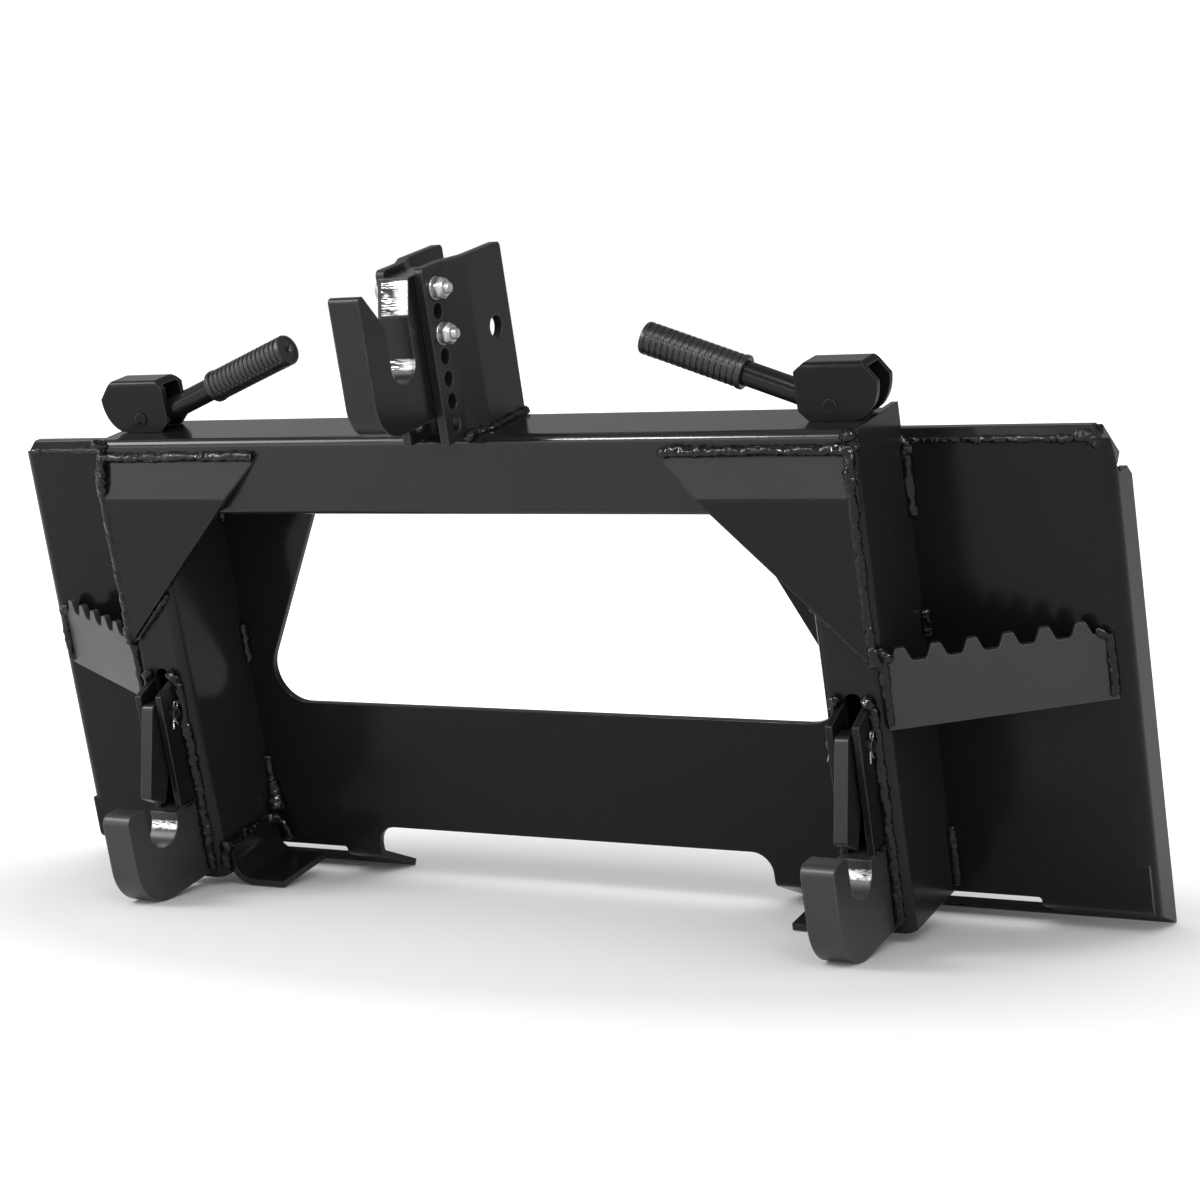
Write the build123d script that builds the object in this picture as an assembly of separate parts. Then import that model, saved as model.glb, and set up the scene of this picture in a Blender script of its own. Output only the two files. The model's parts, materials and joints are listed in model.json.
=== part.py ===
from build123d import *
from math import asin, atan2, cos, degrees, hypot, radians, sin, tan
import os

os.makedirs("parts", exist_ok=True)

# The hitch is drawn upright: X across, Y from the implement back to the loader, Z up.
# Y is 0 on the front of the cross beam and Z is 0 at the bottom fold of the rear plate.
# The last lines lean it forward, as it stands by itself on the ground.

# Clearances in millimetres
running_gap = 0.3
pin_gap = 0.05
rod_gap = 0.5

# Rear plate, folded from one sheet
plate_width = 1130
plate_front = 92
plate_thickness = 6.4
plate_height = 410
plate_fold_radius = 14
bottom_fold_radius = 9
side_flange_depth = 45
side_flange_top = 378
side_flange_chamfer = 10
bottom_flange_reach = 51
bottom_flange_drop = 31
window_bottom = 156
window_top = 380
window_bottom_width = 646
window_slope = 0.52
window_radius = 34
cutout_width = 424
cutout_height = 31
cutout_radius = 20
lock_slot_inner = 252
lock_slot_outer = 464
lock_slot_top = 7.5
lock_slot_reach = 32
lock_slot_radius = 6

# Lip that hangs on the loader
lip_length = 1110
lip_rise = 10
lip_set_back = 5
lip_thickness = 11
lip_drop = 46

# Cross beam and posts
beam_depth = 80
beam_height = 72
beam_top = 444
beam_wall = 6
beam_radius = 8
post_outer = 387
post_width = 57
post_front = -4
post_wall = 6
post_bottom = 10
post_fold_radius = 10

# Gussets in the upper corners
gusset_thickness = 8
gusset_drop = 16
gusset_strip_height = 38
gusset_reach = 177
gusset_edge_gap = 6

# Serrated steps beside the posts
step_bottom = 190
step_height = 57
step_thickness = 6
step_inset = 19
step_front = 2
tooth_count = 6
tooth_pitch = 29.6
first_tooth = 14.5
tooth_height = 12
tooth_base = 18
tooth_top = 8
tooth_rounding = 3

# Foot angles at the inner side of the posts
foot_reach = 61
foot_height = 38
foot_thickness = 6
foot_front = 6
foot_back = 80
foot_fold_radius = 26

# Lower hooks, ears and latches
hook_thickness = 30
hook_front = -109
hook_top = 113
hook_bottom = 16
hook_corner_radius = 42
hook_nose_radius = 9
seat_y = -61
seat_z = 86
seat_radius = 20.5
saddle_top = 91
ear_thickness = 6
ear_front = -31
ear_front_height = 203
ear_back_height = 213
slot_top = 222
latch_thickness = 12
latch_pivot_y = -18
latch_pivot_depth = 20
latch_pin_radius = 5
latch_boss_radius = 12
latch_head_front = -34
latch_toe_y = -61
latch_toe_z = 112
latch_heel_y = -42
latch_heel_z = 100
latch_back_y = -12
latch_back_z = 158
latch_arm_half_height = 11
latch_pin_overhang = 5.4
cotter_radius = 1.2
cotter_length = 16

# Cam levers and pull rods
lever_y = 47
lever_inset = 3.5
lever_pin_height = 13
lever_pin_radius = 6
lever_pin_overhang = 1.5
head_width = 32
head_wall = 5
head_fold_radius = 5
head_top = 36
head_top_inner = -21
head_top_outer = 30.5
head_inner = -30
head_inner_top = 29
head_inner_bottom = -4
head_cam_reach = 43.5
head_turn = 90
handle_angle = 20.2
handle_offset = 4
handle_start = 20
handle_length = 156
grip_length = 96
grip_radius = 14
grip_collar_radius = 15
grip_collar_length = 7
grip_end_wall = 4
rod_radius = 7
eye_radius = 12
fork_wall = 5
fork_half_depth = 11
fork_bridge_gap = 18
fork_bridge_height = 12
link_pin_radius = 5

# Mast bracket and top hook
cheek_thickness = 8
cheek_height = 154
cheek_front = -30
cheek_back = 82
cheek_joggle = 10.5
cheek_joggle_start = 3
cheek_joggle_end = 25
cheek_corner_radius = 5
cheek_fold_radius = 7
link_hole_y = 56
link_hole_rise = 83.5
link_hole_radius = 10
hole_count = 7
hole_pitch = 19.75
first_hole_rise = 15.3
hole_y = -14
hole_radius = 7
bolted_holes = (4, 6)
top_hook_thickness = 30
top_hook_front = -116
top_hook_back = 6
top_hook_rise = 24
top_hook_nose_height = 149
top_hook_corner_radius = 32
top_hook_nose_radius = 4
top_seat_y = -66.4
top_seat_rise = 82
top_seat_radius = 18
mouth_start_rise = 117
mouth_front_flare = 25
mouth_back_flare = 9

# Bolts of the top hook
bolt_radius = 5
bolt_end = 4
bolt_head_height = 6.4
bolt_across_flats = 17
nut_height = 10
washer_thickness = 2
washer_radius = 10

# Places that follow from the sizes above
plate_back = plate_front + plate_thickness
post_inner = post_outer - post_width
step_outer = plate_width / 2 - step_inset
latch_pivot_z = ear_front_height - latch_pivot_depth
beam_bottom = beam_top - beam_height
hook_x = post_outer - post_width / 2
lever_x = hook_x - lever_inset
gusset_top = beam_top - gusset_drop
gusset_fold_height = gusset_top - gusset_strip_height
lever_z = beam_top + lever_pin_height
head_bottom = running_gap - lever_pin_height
cam_lift = head_cam_reach + head_bottom
handle_radius = head_width / 2 - head_wall - running_gap
arm_reach = lever_y - latch_pivot_y
arm_tilt = degrees(atan2(cam_lift / 2, arm_reach))
link_z = latch_pivot_z - cam_lift / 2
ear_gap = hook_thickness - 2 * ear_thickness
cheek_inner = top_hook_thickness / 2 + running_gap
cheek_top = beam_top + cheek_height
flange_angle = degrees(atan2(bottom_flange_drop, bottom_flange_reach))


def outline(*corners):
    """Closed face through the corners, each rounded where it has a third value."""
    arcs, ends = [], []
    count = len(corners)
    for i in range(count):
        before, here, after = (Vector(*corners[(i + k) % count][:2]) for k in (-1, 0, 1))
        radius = corners[i][2] if len(corners[i]) > 2 else 0
        if not radius:
            ends.append((here, here))
            continue
        inward, onward = (before - here).normalized(), (after - here).normalized()
        half = radians(inward.get_angle(onward) / 2)
        start = here + inward * (radius / tan(half))
        end = here + onward * (radius / tan(half))
        middle = here + (inward + onward).normalized() * (radius / sin(half) - radius)
        arcs.append(ThreePointArc(start, middle, end))
        ends.append((start, end))
    lines = []
    for i in range(count):
        start, end = ends[i][1], ends[(i + 1) % count][0]
        if (end - start).length > 0.001:
            lines.append(Line(start, end))
    return make_face(arcs + lines)


def from_side(face, x_low, x_high):
    """Solid from a face drawn in Y and Z."""
    return extrude(Plane.YZ.offset(x_low) * face, x_high - x_low)


def from_front(face, y_low, y_high):
    """Solid from a face drawn in X and Z."""
    return extrude(Plane.XZ.offset(-y_high) * face, y_high - y_low)


def from_above(face, z_low, z_high):
    """Solid from a face drawn in X and Y."""
    return extrude(Plane.XY.offset(z_low) * face, z_high - z_low)


def box(x, y, z):
    """Box between two limits on each axis."""
    return Pos(x[0], y[0], z[0]) * Box(
        x[1] - x[0], y[1] - y[0], z[1] - z[0], align=(Align.MIN, Align.MIN, Align.MIN)
    )


def rod_along_x(radius, x_low, x_high, y, z):
    return from_side(Pos(y, z) * Circle(radius), x_low, x_high)


def rod_along_y(radius, y_low, y_high, x, z):
    return from_front(Pos(x, z) * Circle(radius), y_low, y_high)


def rod_along_z(radius, z_low, z_high, x, y):
    return from_above(Pos(x, y) * Circle(radius), z_low, z_high)


def flange_line(y):
    """Height of the bottom flange's outer face."""
    return -(y - plate_front) * tan(radians(flange_angle))


# Rear plate


def window_half_width(z):
    return window_bottom_width / 2 - window_slope * (z - window_bottom)


def lock_slot(side):
    """Cutter for one slot of the loader's lock pins, across the bottom fold."""
    middle = side * (lock_slot_inner + lock_slot_outer) / 2
    half = (lock_slot_outer - lock_slot_inner) / 2
    low, high = plate_front - 1, plate_front + lock_slot_reach
    cutter = from_above(
        outline(
            (middle - half, low),
            (middle + half, low),
            (middle + half, high, lock_slot_radius),
            (middle - half, high, lock_slot_radius),
        ),
        flange_line(high) - plate_thickness,
        lock_slot_top,
    )
    corners = cutter.edges().filter_by(Axis.Y).group_by(Axis.Z)[-1]
    return fillet(corners, lock_slot_radius / 2)


def rear_plate():
    half, fold = plate_width / 2, plate_fold_radius
    back = plate_front + side_flange_depth
    inner_fold = fold - plate_thickness
    low_fold = bottom_fold_radius
    plan = outline(
        (-half, plate_front, fold),
        (half, plate_front, fold),
        (half, back),
        (half - plate_thickness, back),
        (half - plate_thickness, plate_back, inner_fold),
        (plate_thickness - half, plate_back, inner_fold),
        (plate_thickness - half, back),
        (-half, back),
    )
    sheet = from_above(plan, flange_line(back), plate_height)
    keep = outline(
        (plate_front - 1, plate_height),
        (plate_front + fold / 2, plate_height, fold / 3),
        (plate_front + fold, side_flange_top, fold / 3),
        (back - side_flange_chamfer, side_flange_top),
        (back, side_flange_top - side_flange_chamfer),
        (back, flange_line(back)),
        (plate_front - 1, flange_line(plate_front - 1)),
    )
    sheet = sheet & from_side(keep, -half, half)
    end_y, end_z = plate_front + bottom_flange_reach, -bottom_flange_drop
    normal = Vector(sin(radians(flange_angle)), cos(radians(flange_angle))) * plate_thickness
    rise = plate_thickness * (1 - sin(radians(flange_angle))) / cos(radians(flange_angle))
    flange = from_side(
        outline(
            (plate_front, 3 * fold),
            (plate_front, 0, low_fold),
            (end_y, end_z),
            (end_y + normal.X, end_z + normal.Y),
            (plate_back, rise, low_fold - plate_thickness),
            (plate_back, 3 * fold),
        ),
        plate_thickness / 2 - half,
        half - plate_thickness / 2,
    )
    below = box((-half, half), (plate_front - 1, plate_back), (-bottom_flange_drop, 2 * fold))
    inside = half - plate_thickness
    sheet = sheet - (below & box((-inside, inside), (0, 2 * back), (-half, half))) + flange
    window = outline(
        (-window_half_width(window_bottom), window_bottom, window_radius),
        (window_half_width(window_bottom), window_bottom, window_radius),
        (window_half_width(window_top), window_top, window_radius),
        (-window_half_width(window_top), window_top, window_radius),
    )
    sheet -= from_front(window, plate_front - 1, plate_back + 1)
    cut = cutout_width / 2
    cutout = outline(
        (-cut, -bottom_flange_drop - 1),
        (cut, -bottom_flange_drop - 1),
        (cut, cutout_height, cutout_radius),
        (-cut, cutout_height, cutout_radius),
    )
    sheet -= from_front(cutout, plate_front - 1, end_y + 2 * plate_thickness)
    for side in (-1, 1):
        sheet -= lock_slot(side)
    return sheet


def top_lip():
    """Bar along the top of the plate that hangs on the loader's edge."""
    step = lip_thickness * 2 ** 0.5
    top = plate_height + lip_rise
    crest = plate_front + lip_set_back
    face = outline(
        (plate_front, plate_height),
        (crest, top, 1.5),
        (crest + lip_thickness - 2, top, 4),
        (crest + lip_thickness - 2 + lip_drop * 0.75, top - lip_drop * 0.75),
        (crest + lip_thickness - 2 + lip_drop * 0.75 - step / 2, top - lip_drop * 0.75 - step / 2),
        (plate_back, plate_height),
    )
    bar = from_side(face, -lip_length / 2, lip_length / 2)
    trim = lip_rise * 0.6
    for side in (-1, 1):
        corner = outline(
            (side * lip_length / 2, plate_height),
            (side * (lip_length / 2 - trim), top + 1),
            (side * (lip_length / 2 + 1), top + 1),
        )
        bar -= from_front(corner, plate_front - 1, crest + lip_thickness)
    return bar


# Cross beam and posts


def cross_beam():
    half = post_outer - post_wall
    outer = outline(
        (0, beam_bottom, beam_radius),
        (beam_depth, beam_bottom, beam_radius),
        (beam_depth, beam_top, beam_radius),
        (0, beam_top, beam_radius),
    )
    wall = beam_wall
    inner_radius = beam_radius - wall
    inner = outline(
        (wall, beam_bottom + wall, inner_radius),
        (beam_depth - wall, beam_bottom + wall, inner_radius),
        (beam_depth - wall, beam_top - wall, inner_radius),
        (wall, beam_top - wall, inner_radius),
    )
    tube = from_side(outer - inner, -half, half)
    for side in (-1, 1):
        tube -= rod_along_z(rod_radius + rod_gap, beam_bottom - 1, beam_top + 1, side * lever_x, lever_y)
    return tube


def right_post():
    """Folded channel, whose outer wall also closes the end of the beam."""
    inner_fold = post_fold_radius - post_wall
    plan = outline(
        (post_inner, plate_front),
        (post_inner, post_front, post_fold_radius),
        (post_outer, post_front, post_fold_radius),
        (post_outer, plate_front),
        (post_outer - post_wall, plate_front),
        (post_outer - post_wall, post_front + post_wall, inner_fold),
        (post_inner + post_wall, post_front + post_wall, inner_fold),
        (post_inner + post_wall, plate_front),
    )
    channel = from_above(plan, post_bottom, beam_top)
    channel -= box(
        (post_inner - 1, post_outer - post_wall), (post_front - 1, plate_front + 1), (beam_bottom, beam_top + 1)
    )
    radius = ear_gap / 2
    slot = outline(
        (hook_x - radius, saddle_top),
        (hook_x + radius, saddle_top),
        (hook_x + radius, slot_top, radius - 0.01),
        (hook_x - radius, slot_top, radius - 0.01),
    )
    channel -= from_front(slot, post_front - 1, post_front + post_wall + 1)
    return channel


def right_gusset():
    """Plate folded over the corner of beam and post."""
    front = post_front - gusset_thickness
    lean_rise = (gusset_top - gusset_fold_height) / -front
    side = outline(
        (front, gusset_top - gusset_reach),
        (front, gusset_fold_height, gusset_thickness),
        (0, gusset_top),
        (0, gusset_fold_height - post_front * lean_rise),
        (post_front, gusset_fold_height - 1),
        (post_front, gusset_top - gusset_reach),
    )
    outer = post_outer - gusset_edge_gap
    triangle = outline(
        (outer - gusset_reach, gusset_top),
        (outer, gusset_top),
        (outer, gusset_top - gusset_reach),
    )
    return from_side(side, outer - gusset_reach, outer) & from_front(triangle, front - 1, 1)


def right_step():
    """Serrated plate that runs slantwise from the post to the rear plate."""
    run, depth = step_outer - post_outer, plate_front - step_front
    length = hypot(run, depth)
    extra = 2 * step_thickness
    valley = step_bottom + step_height
    edge = [(-extra, valley)]
    for k in range(tooth_count):
        middle = first_tooth + k * tooth_pitch
        edge.append((middle - tooth_base / 2, valley, tooth_rounding))
        edge.append((middle - tooth_top / 2, valley + tooth_height, tooth_rounding))
        edge.append((middle + tooth_top / 2, valley + tooth_height, tooth_rounding))
        edge.append((middle + tooth_base / 2, valley, tooth_rounding))
    edge.append((length + extra, valley))
    face = outline(*edge, (length + extra, step_bottom), (-extra, step_bottom))
    plane = Plane(
        origin=(post_outer, step_front, 0),
        x_dir=(run, depth, 0),
        z_dir=(depth, -run, 0),
    )
    plate = extrude(plane * face, step_thickness / 2, both=True)
    limits = box((post_outer, step_outer + extra), (step_front - extra, plate_front), (0, beam_top))
    return plate & limits


def right_foot():
    """Angle welded inside the post's lower end."""
    wall, fold = foot_thickness, foot_fold_radius
    face = outline(
        (post_inner, foot_height),
        (post_inner, 0, fold),
        (post_inner - foot_reach, 0),
        (post_inner - foot_reach, wall),
        (post_inner - wall, wall, fold - wall),
        (post_inner - wall, foot_height),
    )
    return from_front(face, foot_front, foot_back)


# Lower hooks with their ears, latches and pins


def right_lower_hook():
    r = seat_radius - 0.01
    floor = seat_z - seat_radius
    face = outline(
        (hook_front, hook_top, hook_nose_radius),
        (seat_y - seat_radius, hook_top - 2, 4),
        (seat_y - seat_radius, floor, r),
        (seat_y + seat_radius, floor, r),
        (seat_y + seat_radius, saddle_top),
        (post_front, saddle_top),
        (post_front, hook_bottom),
        (hook_front, hook_bottom, hook_corner_radius),
    )
    return from_side(face, hook_x - hook_thickness / 2, hook_x + hook_thickness / 2)


def right_ear(x_low):
    face = outline(
        (ear_front, saddle_top),
        (ear_front, ear_front_height, 2),
        (post_front, ear_back_height),
        (post_front, saddle_top),
    )
    ear = from_side(face, x_low, x_low + ear_thickness)
    return ear - rod_along_x(latch_pin_radius, x_low - 1, x_low + ear_thickness + 1, latch_pivot_y, latch_pivot_z)


def right_latch():
    """Wedge that closes the hook's mouth, with an arm through the post to the pull rod."""
    turn = radians(arm_tilt)
    along, across = Vector(cos(turn), -sin(turn)), Vector(sin(turn), cos(turn))
    pivot = Vector(latch_pivot_y, latch_pivot_z)
    half = latch_arm_half_height
    wedge = outline(
        (latch_head_front, latch_pivot_z + latch_boss_radius, 5),
        (latch_toe_y, latch_toe_z, 3),
        (latch_heel_y, latch_heel_z, 4),
        (latch_back_y, latch_back_z, 10),
        (latch_pivot_y + latch_boss_radius, latch_pivot_z),
        (latch_pivot_y, latch_pivot_z + latch_boss_radius),
    )
    near, far = pivot, pivot + along * (arm_reach / cos(turn))
    corners = [near - across * half, far - across * half, far + across * half, near + across * half]
    arm = outline(*[(c.X, c.Y) for c in corners])
    tip = Pos(far.X, far.Y) * Circle(half)
    boss = Pos(pivot.X, pivot.Y) * Circle(latch_boss_radius)
    travel = arm_reach / cos(turn) - arm_reach + 2 * running_gap
    middle = pivot + along * (arm_reach + travel / 2 - running_gap)
    link_slot = Pos(middle.X, middle.Y) * Rot(0, 0, -arm_tilt) * SlotCenterToCenter(
        travel + running_gap, 2 * (link_pin_radius + running_gap)
    )
    face = wedge + arm + tip + boss - Pos(pivot.X, pivot.Y) * Circle(latch_pin_radius + pin_gap) - link_slot
    return from_side(face, hook_x - latch_thickness / 2, hook_x + latch_thickness / 2)


def right_latch_pin():
    reach = hook_thickness / 2 + latch_pin_overhang
    pin = rod_along_x(latch_pin_radius, hook_x - reach, hook_x + reach, latch_pivot_y, latch_pivot_z)
    for x in cotter_places():
        pin -= cotter(x, cotter_radius)
    return pin


def cotter_places():
    offset = hook_thickness / 2 + latch_pin_overhang / 2
    return (hook_x - offset, hook_x + offset)


def cotter(x, radius):
    low = latch_pivot_z - cotter_length / 2
    return rod_along_z(radius, low, low + cotter_length, x, latch_pivot_y)


def right_cotters():
    first, second = cotter_places()
    return cotter(first, cotter_radius) + cotter(second, cotter_radius)


# Cam lever, its pull rod and their pins


def cam_point(turned):
    """Point of the cam that touches the beam when the lever has turned so far."""
    turn = radians(turned)
    rate = cam_lift / radians(head_turn)
    reach = rate * turn - head_bottom
    along = Vector(sin(turn), -cos(turn)) * reach
    ahead = Vector(cos(turn), sin(turn)) * rate
    return Vector(lever_x, lever_z) + along + ahead


def right_lever_head():
    """Folded cover with cam cheeks, which roll on the beam and lift the pull rod."""
    x, z = lever_x, lever_z
    cam = [cam_point(head_turn * k / 6) for k in range(7)]
    corners = [
        (x + head_top_outer, z + head_top),
        (x + head_top_inner, z + head_top),
        (x + head_inner, z + head_inner_top),
        (x + head_inner, z + head_inner_bottom),
        (x + head_inner - head_bottom + head_inner_bottom, z + head_bottom),
    ]
    path = [cam[-1], *[Vector(*c) for c in corners], cam[0]]
    sides = [Line(path[i], path[i + 1]) for i in range(len(path) - 1)]
    cheek = make_face([Spline(*cam)] + sides)
    low, high = lever_y - head_width / 2, lever_y + head_width / 2
    head = from_front(cheek, low, high)
    head = fillet(head.edges().filter_by(Axis.X).group_by(Axis.Z)[-1], head_fold_radius)
    reach = 2 * head_cam_reach
    head -= box(
        (x - reach, x + reach), (low + head_wall, high - head_wall), (z - reach, z + head_top - head_wall)
    )
    return head - rod_along_y(lever_pin_radius + pin_gap, low - 1, high + 1, x, z)


def handle_frame(along):
    """Place on the handle's axis of the right lever, measured from below the pin."""
    turn = radians(handle_angle)
    inward, down = Vector(-cos(turn), 0, sin(turn)), Vector(-sin(turn), 0, -cos(turn))
    place = Vector(lever_x, lever_y, lever_z) + down * handle_offset + inward * along
    return Plane(origin=place, z_dir=inward, x_dir=(0, 1, 0))


def right_lever_handle():
    return extrude(handle_frame(handle_start) * Circle(handle_radius), handle_length)


def right_lever_grip():
    """Rubber sleeve, closed at its outer end and wider at its inner end."""
    start = handle_start + handle_length + grip_end_wall - grip_length
    sleeve = extrude(handle_frame(start) * Circle(grip_radius), grip_length)
    sleeve = fillet(sleeve.edges().group_by(Axis.Z)[-1], 2)
    sleeve += extrude(handle_frame(start) * Circle(grip_collar_radius), grip_collar_length)
    hollow = grip_length - grip_end_wall
    return sleeve - extrude(handle_frame(start) * Circle(handle_radius), hollow)


def right_lever_pin():
    half = head_width / 2 + lever_pin_overhang
    return rod_along_y(lever_pin_radius, lever_y - half, lever_y + half, lever_x, lever_z)


def right_pull_rod():
    """Rod with an eye for the lever pin and a fork for the latch arm."""
    half = head_width / 2 - head_wall - running_gap
    eye = rod_along_y(eye_radius, lever_y - half, lever_y + half, lever_x, lever_z)
    bridge_low = link_z + fork_bridge_gap
    bridge_high = bridge_low + fork_bridge_height
    rod = rod_along_z(rod_radius, bridge_low, lever_z, lever_x, lever_y)
    gap = latch_thickness / 2 + running_gap
    outer = gap + fork_wall
    depth = (lever_y - fork_half_depth, lever_y + fork_half_depth)
    fork = box((hook_x - outer, hook_x + outer), depth, (link_z - fork_half_depth, bridge_high))
    fork -= box((hook_x - gap, hook_x + gap), depth, (link_z - fork_half_depth, bridge_low))
    body = eye + rod + fork
    body -= rod_along_y(lever_pin_radius, lever_y - half - 1, lever_y + half + 1, lever_x, lever_z)
    return body - rod_along_x(link_pin_radius, hook_x - outer - 1, hook_x + outer + 1, lever_y, link_z)


def right_link_pin():
    reach = latch_thickness / 2 + running_gap + fork_wall
    return rod_along_x(link_pin_radius, hook_x - reach, hook_x + reach, lever_y, link_z)


# Mast bracket and top hook


def hole_height(k):
    return beam_top + first_hole_rise + k * hole_pitch


def right_cheek():
    """Plate with a joggle: its front clamps the hook and its back stands wider."""
    near, far = cheek_inner, cheek_inner + cheek_joggle
    thick = cheek_thickness
    plan = outline(
        (near, cheek_front),
        (near, cheek_joggle_start + 2, cheek_fold_radius),
        (far, cheek_joggle_end + 2, cheek_fold_radius),
        (far, cheek_back),
        (far + thick, cheek_back),
        (far + thick, cheek_joggle_end - 2, cheek_fold_radius),
        (near + thick, cheek_joggle_start - 2, cheek_fold_radius),
        (near + thick, cheek_front),
    )
    shape = outline(
        (cheek_front, beam_top),
        (cheek_front, cheek_top, cheek_corner_radius),
        (cheek_back, cheek_top, cheek_corner_radius),
        (cheek_back, beam_top),
    )
    cheek = from_above(plan, beam_top, cheek_top) & from_side(shape, near, far + thick)
    for k in range(hole_count):
        cheek -= rod_along_x(hole_radius, near - 1, far + thick, hole_y, hole_height(k))
    return cheek - rod_along_x(
        link_hole_radius, near - 1, far + thick + 1, link_hole_y, beam_top + link_hole_rise
    )


def top_hook():
    seat_z_top = beam_top + top_seat_rise
    floor = seat_z_top - top_seat_radius
    r = top_seat_radius - 0.01
    front_wall, back_wall = top_seat_y - top_seat_radius, top_seat_y + top_seat_radius
    nose = beam_top + top_hook_nose_height
    mouth = beam_top + mouth_start_rise
    face = outline(
        (top_hook_front, nose, top_hook_nose_radius),
        (front_wall - mouth_front_flare, nose, 2),
        (front_wall, mouth, 12),
        (front_wall, floor, r),
        (back_wall, floor, r),
        (back_wall, mouth, 8),
        (back_wall + mouth_back_flare, nose),
        (top_hook_back, nose),
        (top_hook_back, beam_top + top_hook_rise),
        (top_hook_front, beam_top + top_hook_rise, top_hook_corner_radius),
    )
    half = top_hook_thickness / 2
    hook = from_side(face, -half, half)
    for k in bolted_holes:
        hook -= rod_along_x(bolt_radius + rod_gap, -half - 1, half + 1, hole_y, hole_height(k))
    return hook


def hexagon(x_low, x_high, z):
    radius = bolt_across_flats / 2 / cos(radians(30))
    return from_side(Pos(hole_y, z) * RegularPolygon(radius, 6, rotation=30), x_low, x_high)


def bolt_stack():
    """Outer limits of cheek, washer and nut on the bolts."""
    face = cheek_inner + cheek_thickness
    washer = face + washer_thickness
    return face, washer, washer + nut_height


def hook_bolts():
    face, washer, nut = bolt_stack()
    bolts = []
    for k in bolted_holes:
        z = hole_height(k)
        shank = rod_along_x(bolt_radius, -washer, nut + bolt_end, hole_y, z)
        bolts.append(hexagon(-washer - bolt_head_height, -washer, z) + shank)
    return Part() + bolts


def hook_nuts():
    face, washer, nut = bolt_stack()
    nuts = []
    for k in bolted_holes:
        z = hole_height(k)
        nuts.append(hexagon(washer, nut, z) - rod_along_x(bolt_radius, washer - 1, nut + 1, hole_y, z))
    return Part() + nuts


def hook_washers():
    face, washer, nut = bolt_stack()
    rings = []
    for k in bolted_holes:
        z = hole_height(k)
        for low, high in ((-washer, -face), (face, washer)):
            ring = rod_along_x(washer_radius, low, high, hole_y, z)
            rings.append(ring - rod_along_x(bolt_radius, low - 1, high + 1, hole_y, z))
    return Part() + rings


# Posture on the ground


def standing_lean():
    """Angle at which the hooks' corners and the bottom flange touch one floor."""
    corner_y = hook_front + hook_corner_radius
    corner_z = hook_bottom + hook_corner_radius
    run = plate_front + bottom_flange_reach - corner_y
    rise = corner_z + bottom_flange_drop
    return degrees(atan2(rise, run) - asin(hook_corner_radius / hypot(run, rise)))


def both(name, part):
    """A right-hand piece and its mirror image, named by side."""
    return {f"{name}_right": part, f"{name}_left": mirror(part, Plane.YZ)}


pieces = {"rear_plate": rear_plate(), "top_lip": top_lip(), "cross_beam": cross_beam()}
pieces.update(both("post", right_post()))
pieces.update(both("gusset", right_gusset()))
pieces.update(both("step", right_step()))
pieces.update(both("foot_angle", right_foot()))
pieces.update(both("lower_hook", right_lower_hook()))
pieces.update(both("inner_ear", right_ear(hook_x - hook_thickness / 2)))
pieces.update(both("outer_ear", right_ear(hook_x + hook_thickness / 2 - ear_thickness)))
pieces.update(both("latch", right_latch()))
pieces.update(both("latch_pin", right_latch_pin()))
pieces.update(both("latch_cotters", right_cotters()))
pieces.update(both("lever_head", right_lever_head()))
pieces.update(both("lever_handle", right_lever_handle()))
pieces.update(both("lever_grip", right_lever_grip()))
pieces.update(both("lever_pin", right_lever_pin()))
pieces.update(both("pull_rod", right_pull_rod()))
pieces.update(both("link_pin", right_link_pin()))
pieces.update(both("mast_cheek", right_cheek()))
pieces["top_hook"] = top_hook()
pieces["hook_bolts"] = hook_bolts()
pieces["hook_nuts"] = hook_nuts()
pieces["hook_washers"] = hook_washers()

lean = Rot(X=standing_lean())
leaned = {name: lean * piece for name, piece in pieces.items()}
whole = Compound(children=[Compound(list(piece.solids())) for piece in leaned.values()]).bounding_box()
home = Pos(0, -(whole.min.Y + whole.max.Y) / 2, -whole.min.Z)

for name, piece in leaned.items():
    export_step(home * piece, f"parts/{name}.step")
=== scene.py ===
import json
from math import asin, cos, radians, sin, tau
import bpy
from mathutils import Matrix, Vector


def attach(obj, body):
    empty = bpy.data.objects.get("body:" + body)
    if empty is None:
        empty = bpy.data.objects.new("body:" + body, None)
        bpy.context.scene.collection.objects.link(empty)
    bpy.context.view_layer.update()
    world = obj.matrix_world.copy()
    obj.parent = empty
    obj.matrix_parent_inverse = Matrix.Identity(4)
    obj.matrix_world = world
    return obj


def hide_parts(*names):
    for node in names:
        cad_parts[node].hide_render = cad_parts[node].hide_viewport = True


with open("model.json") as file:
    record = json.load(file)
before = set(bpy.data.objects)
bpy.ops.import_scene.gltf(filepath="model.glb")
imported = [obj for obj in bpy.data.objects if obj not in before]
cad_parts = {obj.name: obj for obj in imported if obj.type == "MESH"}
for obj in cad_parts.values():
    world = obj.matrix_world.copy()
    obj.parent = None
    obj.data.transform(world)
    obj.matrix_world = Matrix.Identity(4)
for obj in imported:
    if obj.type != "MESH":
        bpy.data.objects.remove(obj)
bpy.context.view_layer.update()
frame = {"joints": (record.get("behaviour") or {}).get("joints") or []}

# Studio
# The hitch stands on a pale floor in a white room that darkens overhead and behind its right
# side, under two softboxes, a low strip light and three small lamps that only glint.
bpy.context.scene.view_settings.view_transform = "Standard"


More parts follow.
